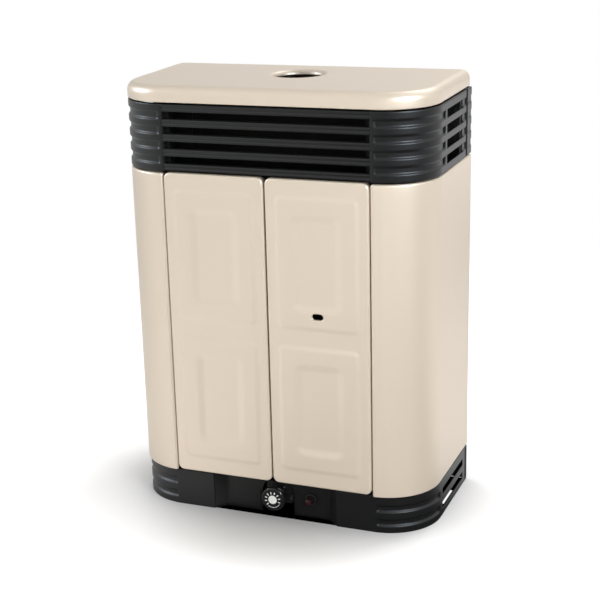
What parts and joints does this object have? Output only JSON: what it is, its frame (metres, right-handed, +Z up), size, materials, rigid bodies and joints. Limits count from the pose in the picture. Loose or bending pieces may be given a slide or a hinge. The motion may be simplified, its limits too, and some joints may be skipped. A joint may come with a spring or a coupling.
{
  "type": "gas heater",
  "caption": "Floor-standing gas convector heater with a rounded enamelled case, slatted upper grille, flue hole in the cover, ribbed plinth, turning control knob and igniter button.",
  "frame": {"origin": "on the floor under the middle of the case", "axes": "+Z up, front towards -Y, +X to the right of someone facing the rear wall"},
  "size_m": [0.7, 0.356, 0.959],
  "materials": {
    "cream_enamel": "glossy cream stove enamel on pressed steel",
    "black_enamel": "satin gloss black enamel on pressed steel",
    "galvanised_sheet": "galvanised sheet with a faint spangle",
    "zinc_steel": "zinc plated steel",
    "dark_steel": "heat darkened steel",
    "aluminised_steel": "aluminised steel",
    "sight_glass": "clear heat resistant glass",
    "brass": "turned brass",
    "copper": "drawn copper",
    "ceramic": "glazed white ceramic",
    "alloy": "die cast aluminium alloy",
    "black_plastic": "moulded black thermoset",
    "red_plastic": "dark red moulded plastic",
    "lead_sleeve": "silicone sleeve"
  },
  "bodies": {
    "case": {"top_cover": "cream_enamel", "right_front_panel": "cream_enamel", "left_front_panel": "cream_enamel", "right_side_panel": "cream_enamel", "left_side_panel": "cream_enamel", "upper_grille_front": "black_enamel", "right_upper_grille": "black_enamel", "left_upper_grille": "black_enamel", "right_plinth": "black_enamel", "left_plinth": "black_enamel", "control_panel": "black_enamel", "top_frame": "black_enamel", "base_plate": "black_enamel", "right_front_post": "black_enamel", "left_front_post": "black_enamel", "front_rail": "black_enamel", "air_deflector": "black_enamel", "valve_bracket": "black_enamel", "rear_panel": "galvanised_sheet", "right_rear_post": "galvanised_sheet", "left_rear_post": "galvanised_sheet", "front_stand": "galvanised_sheet", "rear_stand": "galvanised_sheet", "right_burner_bracket": "galvanised_sheet", "left_burner_bracket": "galvanised_sheet", "pilot_bracket": "galvanised_sheet", "inlet_bracket": "galvanised_sheet", "rear_panel_screw_1": "zinc_steel", "rear_panel_screw_2": "zinc_steel", "rear_panel_screw_3": "zinc_steel", "rear_panel_screw_4": "zinc_steel", "sight_glass_frame": "zinc_steel", "bulb_clip": "zinc_steel", "valve_screw_1": "zinc_steel", "valve_screw_2": "zinc_steel", "combustion_chamber": "dark_steel", "access_plate": "dark_steel", "flue_spigot": "dark_steel", "flue_hood": "aluminised_steel", "heat_shield": "aluminised_steel", "burner_bar": "aluminised_steel", "pilot_tube": "aluminised_steel", "sight_glass": "sight_glass", "injector": "brass", "pilot_burner": "brass", "inlet_fitting": "brass", "inlet_nut": "brass", "thermocouple": "copper", "supply_pipe": "copper", "burner_feed_pipe": "copper", "thermostat_bulb": "copper", "spark_electrode": "ceramic", "gas_valve_body": "alloy", "igniter_body": "black_plastic", "igniter_nut": "black_plastic", "ignition_lead": "lead_sleeve"},
    "thrust_collar": {"spindle_collar": "brass"},
    "knob": {"valve_spindle": "zinc_steel", "control_knob": "black_plastic"},
    "button": {"igniter_button": "red_plastic"}
  },
  "joints": [
    {"name": "knob_push", "type": "slide", "parent": "case", "child": "thrust_collar", "axis": [0, 1, 0], "range_m": [0, 0.004], "stiffness_N_per_m": 600, "springref_m": -0.001},
    {"name": "knob_turn", "type": "hinge", "parent": "thrust_collar", "child": "knob", "pos_m": [0, -0.156, 0.047], "axis": [0, -1, 0], "range_deg": [0, 270]},
    {"name": "igniter_push", "type": "slide", "parent": "case", "child": "button", "axis": [0, 1, 0], "range_m": [0, 0.005], "stiffness_N_per_m": 500, "springref_m": -0.001}
  ]
}
